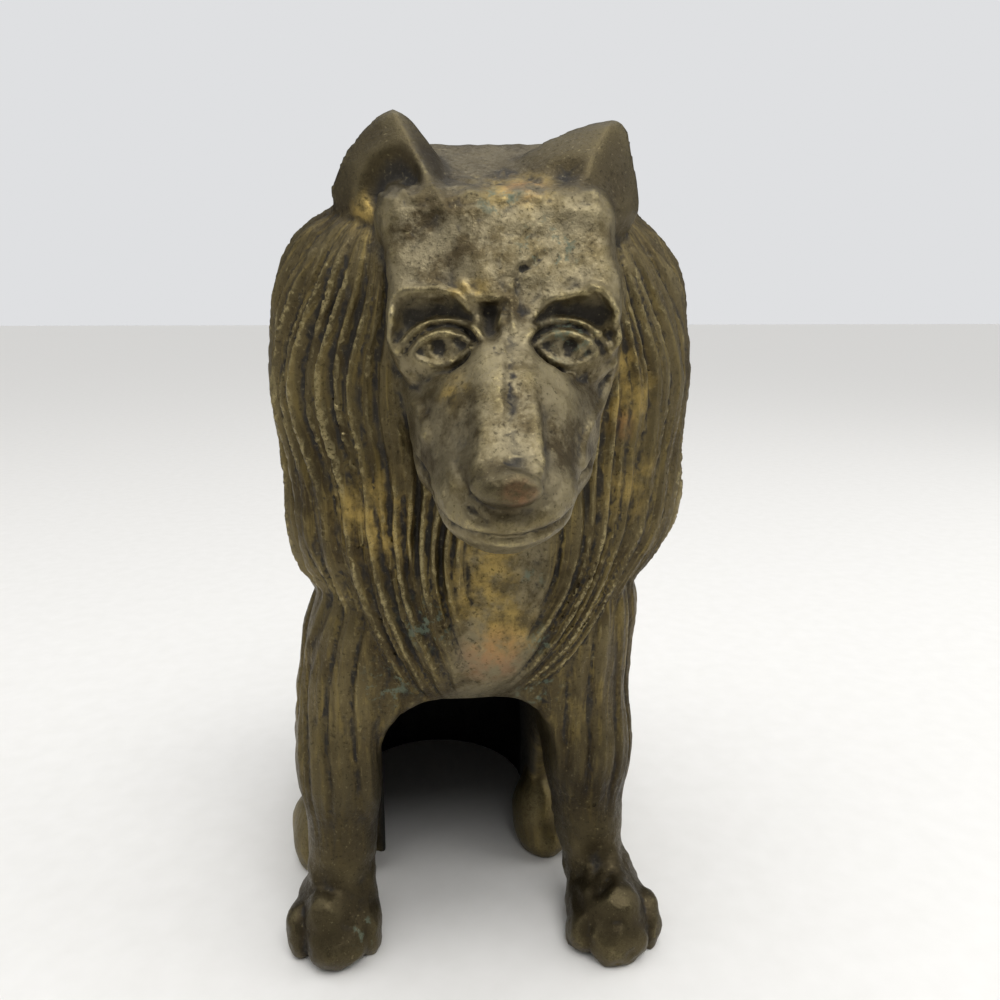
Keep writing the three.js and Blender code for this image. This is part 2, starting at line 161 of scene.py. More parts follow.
def hashed(i, j, k, seed):
    """A repeatable value from 0 to 1 for each point of a lattice."""
    n = (i * 73856093) ^ (j * 19349663) ^ (k * 83492791) ^ (seed * 2654435761)
    n = (n ^ (n >> 13)) * 1274126177 & 0x7FFFFFFF
    return ((n ^ (n >> 16)) & 0xFFFF) / 65535.0


def noise(x, y, z, seed=0):
    """Smooth value noise from -1 to 1, with features one unit across."""
    cells = [np.floor(v).astype(np.int64) for v in (x, y, z)]
    parts = [v - c for v, c in zip((x, y, z), cells)]
    u, v, w = [t * t * (3 - 2 * t) for t in parts]
    total = 0
    for a in (0, 1):
        for b in (0, 1):
            for c in (0, 1):
                weight = (u if a else 1 - u) * (v if b else 1 - v) * (w if c else 1 - w)
                total = total + weight * hashed(cells[0] + a, cells[1] + b, cells[2] + c, seed)
    return total * 2 - 1


def row(phase):
    """A row of rounded locks over their mean; the phase grows by one from lock to lock."""
    return 1.5 * np.sqrt(np.abs(np.sin(math.pi * phase)) + 0.02) - 1.15


def overlapped(phase):
    """A row of locks that each lie over the next one: a long rise and a sharp fall."""
    t = phase - np.floor(phase)
    return blend(t / 0.7, (1 - t) / 0.3, 0.45) - 0.47


# The body

def torso(p):
    q = (p[0], p[1], np.maximum(p[2], 9))
    chest = lump(q, (0, -5, 42), (18.5, 15, 24))
    back = limb(q, (0, 4, 54), (0, 19, 20), 16, 16.5)
    rump = lump(q, (0, 16, 12), (19, 19, 18))
    return blend(blend(chest, back, 8), rump, 8)


def back_locks(p):
    """Height of the long locks down the back and the flanks."""
    x, y, z = p
    sweep = 1.3 * noise(x / 7, y / 9, z / 9, 11)
    phase = x / 3.4 + 0.12 * (z - 50) * np.tanh(x / 5) + sweep
    fine = overlapped(phase * 2.7 + 0.4 * noise(x / 3, y / 3, z / 5, 12))
    return 0.45 * overlapped(phase) + 0.16 * fine


def haunch(p, signed):
    x, y, z = p
    thigh = lump(p, (12.6, 12, 17), (8.2, 15, 14.5), -18)
    knee = lump(p, (15.2, 0.5, 24.5), (5.2, 6.5, 7.5), 20)
    shin = limb(p, (16, 3, 19), (16.6, 15, 6), 4.4, 4.2)
    foot = limb(p, (16.6, 15, 4), (16.8, 3, 4.2), 4, 4.6)
    toes = lump(p, (16.8, 1.5, 4.4), (5.3, 6, 5.8))
    inner = lump(p, (13.8, -1.5, 3), (2.4, 3, 4))
    outer = lump(p, (19.8, -1, 3), (2.5, 3.2, 4))
    ring = np.hypot(y - 22, z + 2) + 0.9 * noise(signed / 6, y / 6, z / 6, 21)
    coat = 0.5 * row(ring / 4.2) + 0.2 * overlapped(ring / 1.5)
    d = blend(thigh, knee, 4) - coat * ramp(10, 16, x)
    d = blend(d, shin, 3)
    d = blend(d, blend(foot, toes, 2), 2)
    return blend(d, np.minimum(inner, outer), 1.2)


def inner_toe(p):
    """The right hind foot shows inside the arch, in front of the core space."""
    rough = 0.15 * noise(p[0] / 2, p[1] / 2, p[2] / 2, 22)
    heel = lump(p, (11.6, -0.4, 5), (3.6, 4.4, 6.8))
    toe = lump(p, (12.6, -2.4, 2.4), (3.2, 3.4, 3.2))
    return blend(heel, toe, 1) - rough


def leg_locks(p, signed):
    """Fine feathering that runs down the foreleg, in tapered locks."""
    x, y, z = p
    drift = 0.5 * noise(signed / 5, y / 5, z / 12, 31)
    phase = (x + 0.45 * y) / 3.1 + 0.2 * np.sin(z / 6) + drift
    fine = overlapped(phase * 2.6 + 0.5 * noise(signed / 2.5, y / 2.5, z / 8, 32))
    return (0.4 * row(phase) + 0.2 * fine) * ramp(12, 24, z)


def foreleg(p, signed, ahead):
    x, y, z = p
    shoulder = lump(p, (11, -7, 42), (8.2, 12, 17), 6)
    upper = limb(p, (13.5, -10.5, 40), (15, -12.5, 23), 7, 5.5)
    lower = limb(p, (15.6, -12.5, 24), (16.5, -14, 8), 5, 4)
    feather = limb(p, (15.8, -8, 32), (15.8, -9.5, 12), 5, 3.6)
    q = (x, y + ahead, z)
    paw = lump(q, (17.4, -14.8, 3.4), (5.2, 7.4, 5.2), 6)
    knuckle = lump(q, (18.1, -18.6, 6), (2.7, 2.5, 3))
    middle = lump(q, (17.3, -19.7, 2.6), (3.7, 3, 3.2), 6)
    inner = lump(q, (13.4, -17.2, 2.2), (1.9, 3, 3.2))
    outer = lump(q, (21.7, -17, 2.6), (1.9, 3.2, 3.6))
    d = blend(blend(shoulder, upper, 5), blend(lower, feather, 3), 4) - leg_locks(p, signed)
    d = blend(d, paw, 2.5)
    d = blend(d, knuckle, 0.8)
    d = blend(d, np.minimum(np.minimum(middle, inner), outer), 0.6)
    rough = 0.4 * noise(signed / 2.6, y / 2.6, z / 2.6, 33) + 0.15 * noise(signed, y, z, 34)
    return d + rough * ramp(14, 9, z)


def tail(p):
    x, y, z = p
    route = [(0, 30, 10), (5, 35, 6.5), (12, 37, 4.8), (18.5, 34, 4.2), (22.5, 27, 3.8), (23, 20, 3)]
    radii = [6, 5.6, 5.4, 4.9, 4, 1.8]
    d = np.full_like(x, 1e3)
    for i in range(len(route) - 1):
        d = blend(d, limb(p, route[i], route[i + 1], radii[i], radii[i + 1]), 1.5)
    phase = z / 3.4 + np.arctan2(y - 20, x) / 3 + 0.3 * noise(x / 4, y / 4, z / 3, 41)
    return d - 0.4 * row(phase) - 0.2 * overlapped(phase * 3)


# The ruff. Its locks run like meridians between a pole at the ear and a pole under the chest.

RUFF_TOP = (11, -13, 91)
RUFF_FOOT = (0, -11, 28)
LOCK_COUNT = 24


def meridian(p):
    """Share of the way from pole to pole, distance from the axis between them, and angle about it."""
    span = [e - s for s, e in zip(RUFF_TOP, RUFF_FOOT)]
    q = [v - s for v, s in zip(p, RUFF_TOP)]
    along = np.clip(sum(a * b for a, b in zip(q, span)) / sum(v * v for v in span), 0, 1)
    out = p[0] - mix(RUFF_TOP[0], RUFF_FOOT[0], along)
    front = p[1] - mix(RUFF_TOP[1], RUFF_FOOT[1], along)
    return along, np.hypot(out, front), np.arctan2(out, -front)


def bend(along, turn):
    """How far the locks leave the meridians, as an angle."""
    return 0.15 * np.sin(7 * along + 2 * turn) + 0.06 * np.sin(17 * along)


def ruff_locks(p, signed):
    """Broad locks with finer ones and strands on them. The bib's middle is bare."""
    x, y, z = p
    along, spread, turn = meridian(p)
    wave = bend(along, turn)
    drift = 0.16 * noise(signed / 12, y / 12, z / 20, 51) + 0.03 * noise(signed / 6, y / 6, z / 16, 52)
    phase = (turn + wave + drift) * LOCK_COUNT / (2 * math.pi)
    broad = row((turn + wave) * LOCK_COUNT / (2 * math.pi))
    deep = 0.5 + 0.9 * noise(signed / 6, y / 6, z / 11, 55)
    lock = overlapped(phase * 2 + 0.35 * noise(signed / 9, y / 9, z / 14, 53)) * deep
    strand = overlapped(phase * 4.4 + 0.7 * noise(signed / 8, y / 8, z / 18, 54)) * (1.1 - 0.5 * deep)
    bare_bib = 1 - ramp(5.5, 2, np.abs(signed - 0.5)) * ramp(62, 54, z) * ramp(-8, -14, y)
    rough = 0.06 * noise(signed / 1.3, y / 1.3, z / 1.3, 56)
    return (0.65 * broad + 0.95 * lock + 0.26 * strand) * ramp(3, 12, spread) * bare_bib + rough


def ruff(p, signed):
    crown = lump(p, (0, -7, 80), (24.2, 14, 14.5))
    cheeks = lump(p, (0, -7, 70), (25.4, 16.5, 20))
    bib = lump(p, (0, -8.5, 56), (24.2, 15.5, 18.5))
    tongue = lump(p, (0, -12, 44.5), (16, 12.4, 13))
    nape = lump(p, (0, 1, 66), (17, 14, 26), 16)
    front = blend(blend(blend(crown, cheeks, 4), bib, 5), tongue, 4)
    return blend(front, nape, 6) - ruff_locks(p, signed)


# The head, about its own middle plane. signed is the side where the form differs between left and right.

EYE = (6.15, 74.8)
EYE_HALF = 2.9
EYE_OPEN = 1.5
EYE_TILT = math.radians(-9)


def eye_relief(x, z):
    """Lids, iris and the folds round the eye, as height. edge is the distance from the eye's opening."""
    u = (x - EYE[0]) * math.cos(EYE_TILT) + (z - EYE[1]) * math.sin(EYE_TILT)
    v = (z - EYE[1]) * math.cos(EYE_TILT) - (x - EYE[0]) * math.sin(EYE_TILT)
    radius = (EYE_HALF ** 2 + EYE_OPEN ** 2) / (2 * EYE_OPEN)
    edge = np.hypot(u, np.abs(v) + radius - EYE_OPEN) - radius
    iris = np.hypot(u - 0.2, v - 0.1)
    lid = 0.3 * np.exp(-((edge - 0.05) / 0.25) ** 2)
    crease = -0.35 * np.exp(-((edge - 0.7) / 0.25) ** 2) * ramp(-1.2, 0.6, v)
    fold = 0.35 * np.exp(-((edge - 1.35) / 0.35) ** 2) * ramp(-0.5, 1, v)
    bag = -0.22 * np.exp(-((edge - 1.5) / 0.4) ** 2) * ramp(0.2, -0.8, v)
    sunk = -0.25 * ramp(-0.15, -0.6, edge)
    pupil = -0.5 * ramp(1.0, 0.5, iris)
    return lid + crease + fold + bag + sunk + pupil


def stroke(x, z, route, width):
    """A soft line through points of the face's front, with the height one along its middle."""
    nearest = np.full_like(x, 1e6)
    for (x0, z0), (x1, z1) in zip(route, route[1:]):
        dx, dz = x1 - x0, z1 - z0
        t = np.clip(((x - x0) * dx + (z - z0) * dz) / (dx * dx + dz * dz), 0, 1)
        nearest = np.minimum(nearest, (x - x0 - t * dx) ** 2 + (z - z0 - t * dz) ** 2)
    return np.exp(-nearest / width ** 2)


# Chased lines, ridges and pits of the face: height, width, and the route in side and level.
CHASING = [
    # Folds round the right eye's brow
    (0.45, 0.45, [(8.4, 81), (10, 79.9), (10.9, 78.3), (10.2, 77), (8.4, 75.9), (6.9, 74.2)]),
    # Upper edges of the left and the right brow pocket
    (0.35, 0.40, [(-11.2, 78.4), (-10.9, 79.6), (-9.8, 80.5), (-6.9, 80.6), (-4.6, 80.1), (-3.6, 78.6)]),
    (0.35, 0.40, [(3.0, 78), (4.2, 79.3), (6.8, 80), (9.3, 80.6)]),
    # Two ridges between the brows
    (0.35, 0.40, [(0.65, 80.8), (0.75, 76.9)]),
    (0.40, 0.45, [(-4, 81), (-3.5, 80), (-1.8, 79.3), (-0.2, 79.8)]),
    # The crack on the forehead, with a pit
    (-0.30, 0.22, [(3.9, 83.7), (3.2, 82.8), (1.9, 82.4), (1.3, 81.4), (1.2, 80.2)]),
    (-0.30, 0.35, [(2.1, 82.4), (2.0, 82.4)]),
    # The frown's notch and a pit below it
    (-1.30, 0.95, [(-1.5, 78.2), (-1.2, 76.7)]),
    (-0.40, 0.25, [(-0.6, 74.9), (-0.6, 74.8)]),
    # The swelling at the left brow's outer end
    (0.60, 0.75, [(-10.8, 77.8), (-10.5, 77.2)]),
    # The line under the nose, the left nostril and the right one
    (-0.20, 0.30, [
        (-4.4, 65.5), (-3.4, 64), (-2.3, 62.7), (-0.3, 61.6), (2.2, 61.6), (3.6, 62.4), (5.2, 63.8),
    ]),
    (-0.40, 0.40, [(-2.9, 62), (-1.6, 61.2)]),
    (-0.22, 0.20, [(2.6, 66.6), (3.3, 65.4), (3.3, 64.1)]),
    # The upper lip's edge
    (0.14, 0.30, [(-5.6, 62.9), (-4.7, 60.8), (-2.7, 59.9), (-0.9, 58.9), (2.6, 58.9)]),
    # The edges of the mask on the left and the right cheek
    (0.50, 0.80, [(-11, 71), (-8.8, 69.6), (-7.6, 67)]),
    (0.45, 0.45, [(11.3, 73.4), (11, 71), (10, 69.2), (8.5, 68.2), (7.7, 66.4), (7.5, 64.4)]),
    # The crease between forehead and crown
    (-0.12, 0.45, [(-11, 88.6), (-4, 88.9), (1, 88.7), (6, 89.1), (11, 88.6)]),
    # The swelling over the frown
    (0.50, 1.60, [(-1.8, 81.6), (-1.6, 80.6)]),
]


def chased(signed, y, z):
    """Height of the chasing, worked out only in front of the skull."""
    height = np.zeros_like(z)
    front = (y < -17) & (z > 56) & (z < 92)
    if front.any():
        x, level = signed[front], z[front]
        lines = sum(size * stroke(x, level, route, width) for size, width, route in CHASING)
        eyes = eye_relief(np.abs(x), level) * ramp(-22.5, -24.5, y[front]) * ramp(-31.5, -30, y[front])
        rough = noise(x / 0.9, y[front] / 0.9, level / 0.9, 71) * (0.09 + 0.14 * ramp(88.3, 89.2, level))
        height[front] = lines * ramp(-17, -19, y[front]) + eyes + rough
    return height


def face(p, signed):
    """Skull, mask, muzzle and eyes, about the mask's middle plane."""
    x, y, z = p
    crown = slab(p, (0, -12.2, 86.2), (12, 8.8, 8), 2.6, 33)
    forehead = slab(p, (0, -18, 79.6), (11.6, 8.2, 8.6), 2, -24)
    temples = lump(p, (0, -14, 79), (13.4, 11.5, 12.5))
    back = lump(p, (0, -4, 85), (12.5, 9.5, 9.5), 30)
    cheek = limb(p, (8, -19.5, 73.6), (5, -28.5, 63.6), 3.7, 3.2)
    muzzle = lump(p, (0, -27.3, 67.2), (8.5, 9.8, 8.7), 40)
    lips = lump(p, (0, -34.8, 62.6), (6.7, 7.2, 4.9), 22)
    plank_width = mix(2.1, 3.1, ramp(77, 64, z))
    plank = slab((signed - 0.5, y, z), (0, -32.7, 69.5), (plank_width, 9.4, 2.9), 0.7, 44)
    pad = lump((signed - 0.2, y, z), (0, -41.2, 63.9), (3.2, 1.7, 1.7), 30)
    jaw = lump(p, (0, -31.5, 60.4), (4.9, 8.2, 2.8), 14)
    pocket = slab(p, (7.0, -28.8, 76.3), (4.2, 3.2, 3.8), 2.6, -6)
    ball = lump(p, (6.3, -25.2, 74.1), (4.6, 2.8, 3.7), -8)
    d = blend(blend(blend(crown, forehead, 2), temples, 2), back, 4)
    d = blend(d, cheek, 2.5)
    d = blend(d, muzzle, 3)
    d = blend(d, lips, 2.5)
    d = carve(d, pocket, 0.7)
    d = blend(d, ball, 0.8)
    d = blend(d, plank, np.where(signed > 0, 0.6, 2.2))
    d = blend(d, pad, 0.5)
    mouth = z - 60 - 0.42 * (y + 40)
    d = d + 0.5 * np.exp(-((mouth / 0.45) ** 2)) * ramp(-26, -29, y)
    d = blend(d, jaw, 0.5)
    return d - chased(signed, y, z)


def ear(p, tip, foot, outer, inner):
    """A pricked ear of rhombic section.

    foot and tip are the front corner's ends, in side, depth and height. outer and inner give the reach to
    either side of that corner from the share of the way up.
    """
    x, y, z = p
    t = np.clip((z - foot[2]) / (tip[2] - foot[2]), 0, 1)
    off = x - mix(foot[0], tip[0], t)
    width = np.where(off > 0, outer(t), inner(t)) + 0.3
    middle = mix(-14.5, tip[1], t)
    ahead = mix(middle - foot[1], 0.9, t)
    depth = np.where(y < middle, ahead, mix(5, 0.9, t))
    sunk = 1 - 0.25 * ramp(89.5, 84.5, z)
    u, v = np.abs(off) / (width * sunk), np.abs(y - middle) / (depth * sunk)
    ring = (u ** 1.25 + v ** 1.25) ** 0.8 - 1
    leaf = ring * np.minimum(width, depth) * 0.8
    return np.maximum(-blend(-leaf, tip[2] - z, 1.6), 84.5 - z)


def left_ear(p):
    leaf = ear(p, (10.9, -14.8, 99.5), (4.8, -24.2, 88),
               lambda t: 11.9 * (1 - t ** 1.5) ** 0.9 + 0.4,
               lambda t: 3 * (1 - t) ** 0.8 + 0.6)
    scoop = lump(p, (12.2, -22.4, 92.2), (4.9, 4.9, 6.0), 10)
    return carve(leaf, scoop, 0.6)


def right_ear(p):
    leaf = ear(p, (12.6, -14.8, 98.4), (6.2, -23.8, 88),
               lambda t: 8.6 * (1 - t) ** 0.9 + 0.9, lambda t: 8.6 * (1 - t ** 3) ** 0.9 + 0.6)
    scoop = lump(p, (6.5, -21.5, 94.5), (3.6, 3, 3.6), 10)
    outer = lump(p, (14.6, -21.8, 92), (3.4, 4.2, 5), 10)
    return carve(carve(leaf, scoop, 1), outer, 0.6)


def posed(p):
    """The pose undone: the body's side, then the head's side and depth."""
    x, y, z = p
    rear = ramp(-10, 6, y) * ramp(60, 30, z)
    sx = x - LEAN * ramp(26, 60, z) + HAUNCH_SWING * rear
    across = sx - HEAD_SHIFT
    hx = across * math.cos(HEAD_TURN) - (y + 12) * math.sin(HEAD_TURN)
    hy = (y + 12) * math.cos(HEAD_TURN) + across * math.sin(HEAD_TURN) - 12
    return sx, hx, hy


def masked(hx, z):
    """The side on the mask, whose middle lies right of the crown's."""
    return hx - FACE_SHIFT * ramp(88, 80, z)


def parts_of(p):
    """Distances to the parts of the figure, each with its own carving."""
    x, y, z = p
    sx, hx, hy = posed(p)
    side = np.abs(sx)
    mask = masked(hx, z)
    step = np.where(sx > 0, PAW_STEP * ramp(30, 8, z), 0)
    head = (np.abs(hx), hy, z)
    return {
        "torso": torso((sx, y, z)) - back_locks((sx, y, z)) * ramp(-6, 2, y),
        "haunch": haunch((side, y, z), sx),
        "foreleg": foreleg((side, y, z), sx, step),
        "tail": tail((sx, y, z)),
        "ruff": ruff((side, y, z), sx),
        "face": face((np.abs(mask), hy, z), mask),
        "ear": np.where(sx > 0, right_ear(head), left_ear(head)),
    }


JOINS = {"haunch": 2.5, "foreleg": 3, "tail": 2, "ruff": 0.8, "face": 0.6, "ear": 0.6}


def core(p):
    """The core space: one wall inside the torso, open below, and led out through the arch."""
    x, y, z = p
    rear = ramp(-10, 6, y) * ramp(60, 30, z)
    sx = x - LEAN * ramp(26, 60, z) + HAUNCH_SWING * rear
    hollow = -blend(-(torso((sx, y, z)) + WALL), CORE_HEIGHT - z, 6)
    out = np.abs(x + ARCH_SHIFT) - ARCH_WIDTH / 2 + ARCH_CORNER
    up = z - ARCH_HEIGHT + ARCH_CORNER
    arch = np.hypot(np.maximum(out, 0), np.maximum(up, 0)) + np.minimum(np.maximum(out, up), 0) - ARCH_CORNER
    return blend(hollow, np.maximum(arch, y - ARCH_REACH), 2)


def shell(p):
    """The whole casting as a signed distance."""
    parts = parts_of(p)
    d = parts["torso"]
    for name, join in JOINS.items():
        d = blend(d, parts[name], join)
    x, y, z = p
    d = d + 0.07 * noise(x / 1.1, y / 1.1, z / 1.1, 61) + 0.13 * noise(x / 3.5, y / 3.5, z / 3.5, 62)
    d = carve(d, core(p), RIM_ROUNDING)
    return np.maximum(blend(d, inner_toe(p), 1), -z)


# Meshing

def evaluate(field, points):
    """The field at many points, a block at a time on every core."""
    blocks = [points[i:i + BATCH] for i in range(0, len(points), BATCH)]
    with ThreadPoolExecutor() as pool:
        return np.concatenate(list(pool.map(lambda b: field((b[:, 0], b[:, 1], b[:, 2])), blocks)))


def sample(field, step):
    """The field on a lattice, evaluated only in blocks that the surface can reach."""
    counts = (np.ceil((HIGH - LOW) / step / BLOCK).astype(int)) * BLOCK
    coarse = counts // BLOCK
    grid = np.stack(np.meshgrid(*[np.arange(c) for c in coarse], indexing="ij"), -1).reshape(-1, 3)
    centres = LOW + (grid * BLOCK + (BLOCK - 1) / 2) * step
    far = evaluate(field, centres)
    values = far.reshape(coarse)
    for axis in range(3):
        values = np.repeat(values, BLOCK, axis)
    near = grid[np.abs(far) < BLOCK * step * 1.3]
    offsets = np.stack(np.meshgrid(*[np.arange(BLOCK)] * 3, indexing="ij"), -1).reshape(-1, 3)
    index = (near[:, None, :] * BLOCK + offsets[None]).reshape(-1, 3)
    values[tuple(index.T)] = evaluate(field, LOW + index * step)
    return values


def surface(field, step):
    """Surface nets: one vertex in each cell that the surface crosses, one quad round each crossed edge."""
    values = sample(field, step)
    inside = values < 0
    corners = [(a, b, c) for a in (0, 1) for b in (0, 1) for c in (0, 1)]
    size = [n - 1 for n in values.shape]

    def corner(array, offset):
        return array[tuple(slice(o, o + n) for o, n in zip(offset, size))]

    filled = sum(corner(inside, o).astype(np.uint8) for o in corners)
    cells = np.argwhere((filled > 0) & (filled < 8))
    number = np.full(size, -1, dtype=np.int64)
    number[tuple(cells.T)] = np.arange(len(cells))
    total = np.zeros((len(cells), 3))
    crossed = np.zeros(len(cells))
    for a in corners:
        for axis in range(3):
            if a[axis]:
                continue
            b = tuple(1 if i == axis else v for i, v in enumerate(a))
            va = values[tuple((cells + a).T)]
            vb = values[tuple((cells + b).T)]
            cut = (va < 0) != (vb < 0)
            t = np.where(cut, va / np.where(cut, va - vb, 1), 0)
            point = np.array(a, float) + np.eye(3)[axis] * t[:, None]
            total += point * cut[:, None]
            crossed += cut
    points = LOW + (cells + total / crossed[:, None]) * step
    quads = []
    for axis in range(3):
        after = [1 if i == axis else 0 for i in range(3)]
        va = inside[tuple(slice(0, n - s) for n, s in zip(values.shape, after))]
        vb = inside[tuple(slice(s, n) for n, s in zip(values.shape, after))]
        edges = np.argwhere(va != vb)
        u, v = [(axis + 1) % 3, (axis + 2) % 3]
        edges = edges[(edges[:, u] > 0) & (edges[:, v] > 0)]
        outward = va[tuple(edges.T)]
        around = []
        for du, dv in ((-1, -1), (0, -1), (0, 0), (-1, 0)):
            cell = edges.copy()
            cell[:, u] += du
            cell[:, v] += dv
            around.append(number[tuple(np.minimum(cell, np.array(size) - 1).T)])
        quad = np.stack(around, 1)
        quad[~outward] = quad[~outward][:, ::-1]
        quads.append(quad)
    return points, np.concatenate(quads)


def gradient(field, points, reach):
    """The field at the points, and its slope along each axis."""
    here = evaluate(field, points)
    slope = np.empty_like(points)
    for axis in range(3):
        moved = points.copy()
        moved[:, axis] += reach
        slope[:, axis] = (evaluate(field, moved) - here) / reach
    return here, slope


def settle(field, points, reach):
    """Points drawn onto the surface of the field."""
    here, slope = gradient(field, points, reach)
    steep = np.maximum((slope ** 2).sum(1), 0.25)
    move = slope * (here / steep)[:, None]
    length = np.sqrt((move ** 2).sum(1))[:, None]
    return points - move * np.minimum(1, STEP * 0.5 / np.maximum(length, 1e-9))


def to_row(points):
    """Pose units to metres in the row frame."""
    return points * UNIT - np.array([ORIGIN[0], ORIGIN[1], 0])


def to_pose(points):
    return (points + np.array([ORIGIN[0], ORIGIN[1], 0])) / UNIT


def keep_in_box(points):
    """No point may leave the solid's box."""
    low, high = np.array(cad_box[0]), np.array(cad_box[1])
    return np.clip(points, low + BOX_MARGIN, high - BOX_MARGIN)


def build_mesh():
    """The field's surface as one object, thinned and shaded smooth."""
    points, quads = surface(shell, STEP)
    points = settle(shell, points, 0.1)
    mesh = bpy.data.meshes.new("casting")
    mesh.vertices.add(len(points))
    mesh.vertices.foreach_set("co", to_row(points).ravel())
    mesh.loops.add(quads.size)
    mesh.loops.foreach_set("vertex_index", quads.ravel())
    mesh.polygons.add(len(quads))
    mesh.polygons.foreach_set("loop_start", np.arange(0, quads.size, 4))
    mesh.update(calc_edges=True)
    mesh.validate()
    piece = bpy.data.objects.new("casting", mesh)
    bpy.context.scene.collection.objects.link(piece)
    thin = piece.modifiers.new("thin", "DECIMATE")
    thin.ratio = min(1, TRIANGLES / (2 * len(quads)))
    thin.use_collapse_triangulate = True
    bpy.context.view_layer.update()
    graph = bpy.context.evaluated_depsgraph_get()
    thinned = bpy.data.meshes.new_from_object(piece.evaluated_get(graph))
    piece.modifiers.clear()
    piece.data = thinned
    bpy.data.meshes.remove(mesh)
    co = np.empty(len(thinned.vertices) * 3)
    thinned.vertices.foreach_get("co", co)
    thinned.vertices.foreach_set("co", keep_in_box(co.reshape(-1, 3)).ravel())
    thinned.polygons.foreach_set("use_smooth", np.ones(len(thinned.polygons), dtype=bool))
    thinned.update()
    return piece


# Values that the patina is worked out from, one for each vertex

def connections(mesh):
    """The two vertices of each edge."""
    ends = np.empty(2 * len(mesh.edges), dtype=np.int32)
    mesh.edges.foreach_get("vertices", ends)
    return ends.reshape(-1, 2).T


def averaged(values, ends, times):
    """Each vertex's values drawn towards its neighbours' mean."""
    a, b = ends
    count = len(values)
    share = np.maximum(np.bincount(a, minlength=count) + np.bincount(b, minlength=count), 1)
    for _ in range(times):
        columns = []
        for column in values.reshape(count, -1).T:
            total = np.bincount(a, weights=column[b], minlength=count)
            total += np.bincount(b, weights=column[a], minlength=count)
            columns.append(total / share)
        values = np.stack(columns, 1).reshape(values.shape)
    return values


def hollowness(points, normals, ends, times, scale):
    """Above zero in a hollow, below zero on a crest, at the scale that the averaging reaches."""
    mean = averaged(points, ends, times)
    return averaged(((mean - points) * normals).sum(1) / scale, ends, 1)


def strands(points):
    """Coordinates in which the hair runs along the third axis, shortened so that streaks follow it."""
    p = (points[:, 0], points[:, 1], points[:, 2])
    x, y, z = p
    sx, hx, hy = posed(p)
    side = np.abs(sx)
    parts = parts_of(p)
    names = list(parts)
    nearest = np.argmin(np.stack([parts[n] for n in names]), 0)
    along, spread, turn = meridian((side, y, z))
    turn = turn + bend(along, turn)
    ring = np.hypot(y - 22, z + 2)
    flow = {
        "ruff": (22 * np.cos(turn), 22 * np.sin(turn), along * 7 + sx * 0.05),
        "foreleg": (x, y, z * 0.12),
        "haunch": (ring, x * 0.3, np.arctan2(y - 22, z + 2) * 2),
        "torso": (x, y * 0.4, z * 0.15),
        "tail": (z, np.arctan2(y - 20, x) * 3, x * 0.1),
        "face": (hx, hy, z * 0.6),
        "ear": (x, y, z * 0.4),
    }
    result = np.zeros_like(points)
    for i, name in enumerate(names):
        chosen = nearest == i
        result[chosen] = np.stack(flow[name], 1)[chosen]
    return result, nearest, names


def patches(points, places):
    """From 0 to 1, how far each point lies inside any of some soft round patches."""
    reach = [ramp(r, 0.3 * r, np.sqrt(((points - np.array(at)) ** 2).sum(1))) for at, r in places]
    return np.max(reach, axis=0)


# Places of the patina in the pose frame, each with its radius; the last list holds places of painted shade, not
# patina.
GOLD = [
    ((0.8, -24, 49), 6), ((1.5, -24, 54), 5), ((3, -24, 44), 5), ((-10.5, -17, 88.5), 3.5),
    ((5, -21.5, 91), 5), ((-1.2, -28, 81), 3.2), ((-2.4, -32, 71), 2.6), ((-11, -21, 57), 7),
    ((16, -20, 70), 7), ((16, -18, 60), 7),
]
COPPER = [((2, -24, 41), 5), ((5.4, -21.7, 90.5), 3), ((1.6, -42.8, 63.6), 2), ((16, -20, 66), 3)]
GREEN = [
    ((-9.6, -19, 36), 4.5), ((7.3, -25.5, 84.7), 4), ((8.5, -29, 76.4), 3.6), ((7.2, -23.3, 42.5), 2.5),
    ((-5.6, -23, 45), 4), ((2.7, -23, 89.3), 3), ((-14, -20, 4), 2.5), ((8, -18, 34), 4), ((6, -24, 50), 2),
]
# Painted shade: the nose pad, the ear scoops, and the legs and paws near the floor.
SHADE = [
    ((0.2, -42.8, 64), 5), ((-12, -21, 92), 6), ((14, -17, 92), 8), ((-9, -20, 92), 6),
    ((17.5, -21, 6), 12), ((-18, -20, 6), 12), ((-14, -16, 18), 13), ((16, -18, 18), 13),
]


def core_shade(points):
    """Where painted shade blackens the walls of the core space, but not the toe that shows in front of it."""
    toe = evaluate(inner_toe, points)
    inside = ramp(1.2, 0.3, evaluate(core, points)) * ramp(-12, 2, points[:, 1])
    return inside * ramp(0.4, 1.0, toe)


def bareness(points, nearest, names, ends, chosen):
    """Where no hair is drawn: the chosen parts of the head, the middle of the bib, and the paws."""
    x, y, z = points.T
    sx = posed((x, y, z))[0]
    head = np.isin(nearest, [names.index(name) for name in chosen]).astype(float)
    bib = ramp(6, 3, np.abs(sx - 0.5)) * ramp(64, 56, z) * ramp(-8, -14, y)
    paws = ramp(16, 10, z) * ramp(-6, -10, y)
    return averaged(np.maximum(np.maximum(head, bib), paws), ends, 3)


